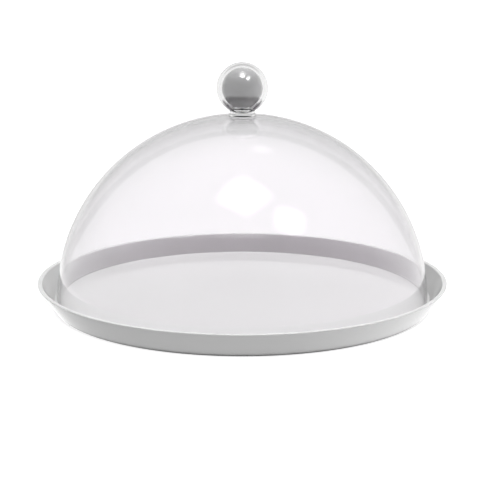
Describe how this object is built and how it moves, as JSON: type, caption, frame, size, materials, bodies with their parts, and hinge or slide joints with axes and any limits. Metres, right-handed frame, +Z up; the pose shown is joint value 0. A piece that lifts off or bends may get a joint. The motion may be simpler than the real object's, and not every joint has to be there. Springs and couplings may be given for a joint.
{
  "type": "cake dome",
  "caption": "Clear half-sphere cake cover with a clear ball knob round a grey ball, standing in a white round tray with a flared wall; the cover lifts off.",
  "frame": {"origin": "middle of the tray's foot ring, on the surface that the tray stands on", "axes": "+Z up along the axis that every piece is turned about; X and Y are equal, and -Y is the side the picture looks from"},
  "size_m": [0.3632, 0.3632, 0.2167],
  "materials": {
    "tray_white": "smooth gloss white moulding",
    "dome_clear": "clear polished plastic",
    "knob_clear": "clear polished plastic",
    "core_grey": "smooth gloss grey"
  },
  "bodies": {
    "tray": {"tray": "tray_white"},
    "dome": {"dome": "dome_clear", "knob_cup": "knob_clear", "knob_cap": "knob_clear", "knob_core": "core_grey"}
  },
  "joints": [
    {"name": "dome_lift", "type": "slide", "parent": "tray", "child": "dome", "axis": [0, 0, 1], "range_m": [0, 0.2]}
  ]
}
